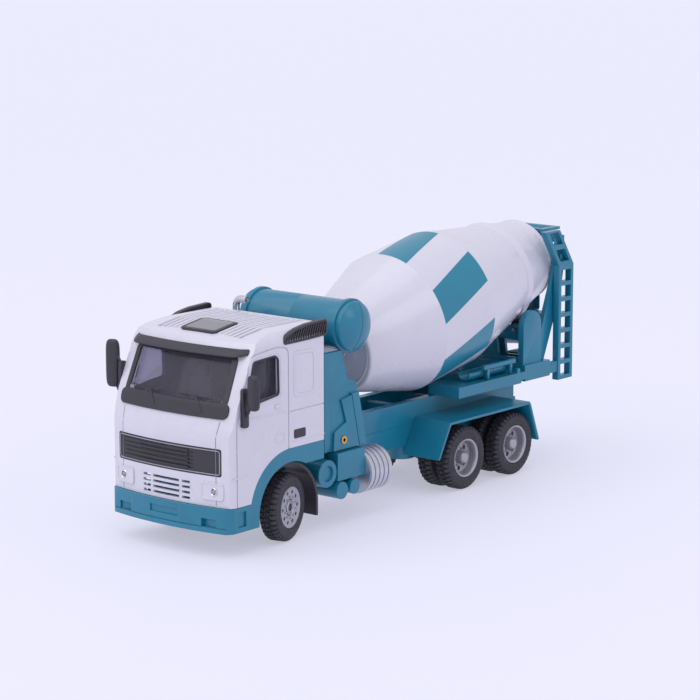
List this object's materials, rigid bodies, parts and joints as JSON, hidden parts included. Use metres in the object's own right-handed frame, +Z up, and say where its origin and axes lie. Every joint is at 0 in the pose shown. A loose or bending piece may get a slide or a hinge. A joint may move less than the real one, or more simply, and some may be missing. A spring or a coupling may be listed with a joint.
{
  "type": "toy cement mixer lorry",
  "caption": "Three-axle toy cement mixer lorry with a steered front axle, a tilted revolving drum on rollers, a filling hopper, a rear ladder and a swinging chute.",
  "frame": {"origin": "centre of the bounding box in X and Y, on the ground under the tyres", "axes": "-Y towards the lorry's nose, +X towards its left side, +Z up"},
  "size_m": [0.064, 0.1913, 0.0835],
  "materials": {
    "teal_plastic": "gloss",
    "white_plastic": "gloss",
    "dark_plastic": "satin",
    "tyre_rubber": "matte",
    "silver_plastic": "satin metallic",
    "steel": "brushed",
    "chrome": "polished",
    "clear_plastic": "clear",
    "grey_plastic": "matte",
    "brass": "polished"
  },
  "bodies": {
    "lorry": {"chassis_frame": "teal_plastic", "subframe": "teal_plastic", "axle_hangers": "teal_plastic", "front_axle_beam": "dark_plastic", "cab_shell": "white_plastic", "glazing": "clear_plastic", "cab_interior": "grey_plastic", "steering_wheel": "dark_plastic", "sun_visor": "dark_plastic", "scuttle_panel": "dark_plastic", "grille": "dark_plastic", "headlamp_jewels": "chrome", "roof_hatch": "dark_plastic", "side_louvres": "dark_plastic", "mirror_left": "dark_plastic", "mirror_right": "dark_plastic", "bumper_moulding": "teal_plastic", "front_mudguards": "dark_plastic", "rear_mudguards": "teal_plastic", "battery_box": "teal_plastic", "air_tanks": "teal_plastic", "fuel_tank": "chrome", "reservoir": "teal_plastic", "front_pedestal": "teal_plastic", "pedestal_rivets": "brass", "water_tank": "teal_plastic", "exhaust_pipe": "chrome", "rear_pedestal": "teal_plastic", "roller_pins": "steel", "platform_left": "teal_plastic", "platform_right": "teal_plastic", "chute_rack": "teal_plastic", "ladder": "teal_plastic", "filling_hopper": "teal_plastic", "collector": "teal_plastic", "chute_pin": "steel", "screws": "steel"},
    "knuckle_left": {"knuckle_left": "dark_plastic"},
    "knuckle_right": {"knuckle_right": "dark_plastic"},
    "tie_rod": {"tie_rod": "dark_plastic"},
    "front_wheel_left": {"front_rim_left": "silver_plastic", "front_tyre_left": "tyre_rubber"},
    "front_wheel_right": {"front_rim_right": "silver_plastic", "front_tyre_right": "tyre_rubber"},
    "rear_wheels_1": {"rear_axle_1": "steel", "rear_rims_1": "silver_plastic", "rear_tyres_1": "tyre_rubber"},
    "rear_wheels_2": {"rear_axle_2": "steel", "rear_rims_2": "silver_plastic", "rear_tyres_2": "tyre_rubber"},
    "drum": {"drum": "white_plastic"},
    "roller_left": {"roller_left": "dark_plastic"},
    "roller_right": {"roller_right": "dark_plastic"},
    "chute": {"chute": "teal_plastic"}
  },
  "joints": [
    {"name": "steer_left", "type": "hinge", "parent": "lorry", "child": "knuckle_left", "pos_m": [0.016, -0.06575, 0.0107], "axis": [0, 0, 1], "range_deg": [-32, 4]},
    {"name": "steer_right", "type": "hinge", "parent": "lorry", "child": "knuckle_right", "pos_m": [-0.016, -0.06575, 0.0107], "axis": [0, 0, 1], "range_deg": [-32, 4]},
    {"name": "tie_rod_pivot", "type": "hinge", "parent": "knuckle_left", "child": "tie_rod", "pos_m": [0.01406, -0.05799, 0.0072], "axis": [0, 0, 1], "range_deg": [-4, 32]},
    {"name": "spin_front_left", "type": "hinge", "parent": "knuckle_left", "child": "front_wheel_left", "pos_m": [0.016, -0.06575, 0.0107], "axis": [0.9703, 0.2419, 0], "continuous": true},
    {"name": "spin_front_right", "type": "hinge", "parent": "knuckle_right", "child": "front_wheel_right", "pos_m": [-0.016, -0.06575, 0.0107], "axis": [0.9703, 0.2419, 0], "continuous": true},
    {"name": "spin_rear_1", "type": "hinge", "parent": "lorry", "child": "rear_wheels_1", "pos_m": [0, 0.02485, 0.0107], "axis": [1, 0, 0], "continuous": true},
    {"name": "spin_rear_2", "type": "hinge", "parent": "lorry", "child": "rear_wheels_2", "pos_m": [0, 0.05225, 0.0107], "axis": [1, 0, 0], "continuous": true},
    {"name": "drum_spin", "type": "hinge", "parent": "lorry", "child": "drum", "pos_m": [0, -0.01405, 0.0501], "axis": [0, 0.984, 0.1779], "continuous": true},
    {"name": "roller_spin_left", "type": "hinge", "parent": "lorry", "child": "roller_left", "pos_m": [0.01137, 0.07175, 0.04713], "axis": [0, 0.984, 0.1779], "continuous": true},
    {"name": "roller_spin_right", "type": "hinge", "parent": "lorry", "child": "roller_right", "pos_m": [-0.01137, 0.07175, 0.04713], "axis": [0, 0.984, 0.1779], "continuous": true},
    {"name": "chute_swing", "type": "hinge", "parent": "lorry", "child": "chute", "pos_m": [0.003, 0.08665, 0.0434], "axis": [0, 0, 1], "range_deg": [-100, 0]}
  ],
  "couplings": [
    {"joint": "steer_right", "follows": "steer_left", "ratio": 1},
    {"joint": "tie_rod_pivot", "follows": "steer_left", "ratio": -1},
    {"joint": "roller_spin_left", "follows": "drum_spin", "ratio": -6.1333},
    {"joint": "roller_spin_right", "follows": "drum_spin", "ratio": -6.1333}
  ]
}
